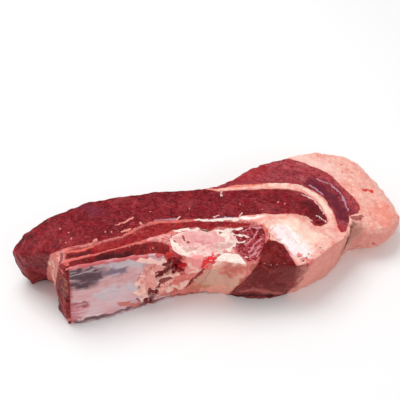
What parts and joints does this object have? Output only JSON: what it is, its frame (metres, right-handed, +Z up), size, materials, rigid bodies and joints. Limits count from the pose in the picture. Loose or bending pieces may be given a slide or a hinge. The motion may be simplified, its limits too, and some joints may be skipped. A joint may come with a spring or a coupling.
{
  "type": "raw bone-in beef brisket slice",
  "caption": "Thick wedge-shaped slice of raw beef brisket on the bone, with layered muscle and fat, sawn breastbone, rib, membrane-lined chest wall and outer fat cap.",
  "frame": {"origin": "centre of the bounding box, on the plane the slice lies on", "axes": "+X along the slice, from the rib end to the breast fat; +Y from the inside of the chest to the outside; +Z up, from the lower cut face to the upper one"},
  "size_m": [0.3406, 0.15, 0.0614],
  "materials": {
    "red_muscle": "moist raw red muscle, fine grain, soft wet sheen",
    "outer_muscle": "moist raw muscle, paler and pinker, with purplish bands",
    "dark_muscle": "moist raw muscle, dark red",
    "pink_fat": "soft pink-white fat, satin",
    "cream_fat": "soft cream fat, satin",
    "bone": "sawn bone with pinkish marrow, matte",
    "cartilage": "dense white gristle, slightly glossy",
    "membrane": "thin wet membrane, greyish pink, glossy"
  },
  "bodies": {
    "root": {"deep_muscle": "red_muscle", "outer_muscle": "outer_muscle", "outer_head": "outer_muscle", "strip_muscle": "red_muscle", "intercostal_muscle": "dark_muscle", "marbled_muscle": "red_muscle", "dark_muscle": "dark_muscle", "trim_meat": "dark_muscle", "fat_cap": "pink_fat", "seam_fat": "cream_fat", "chest_fat": "pink_fat", "fat_fold": "pink_fat", "sternum_bone": "bone", "rib_bone": "bone", "breast_cartilage": "cartilage", "tendon": "cartilage", "pleura": "membrane"}
  },
  "joints": []
}
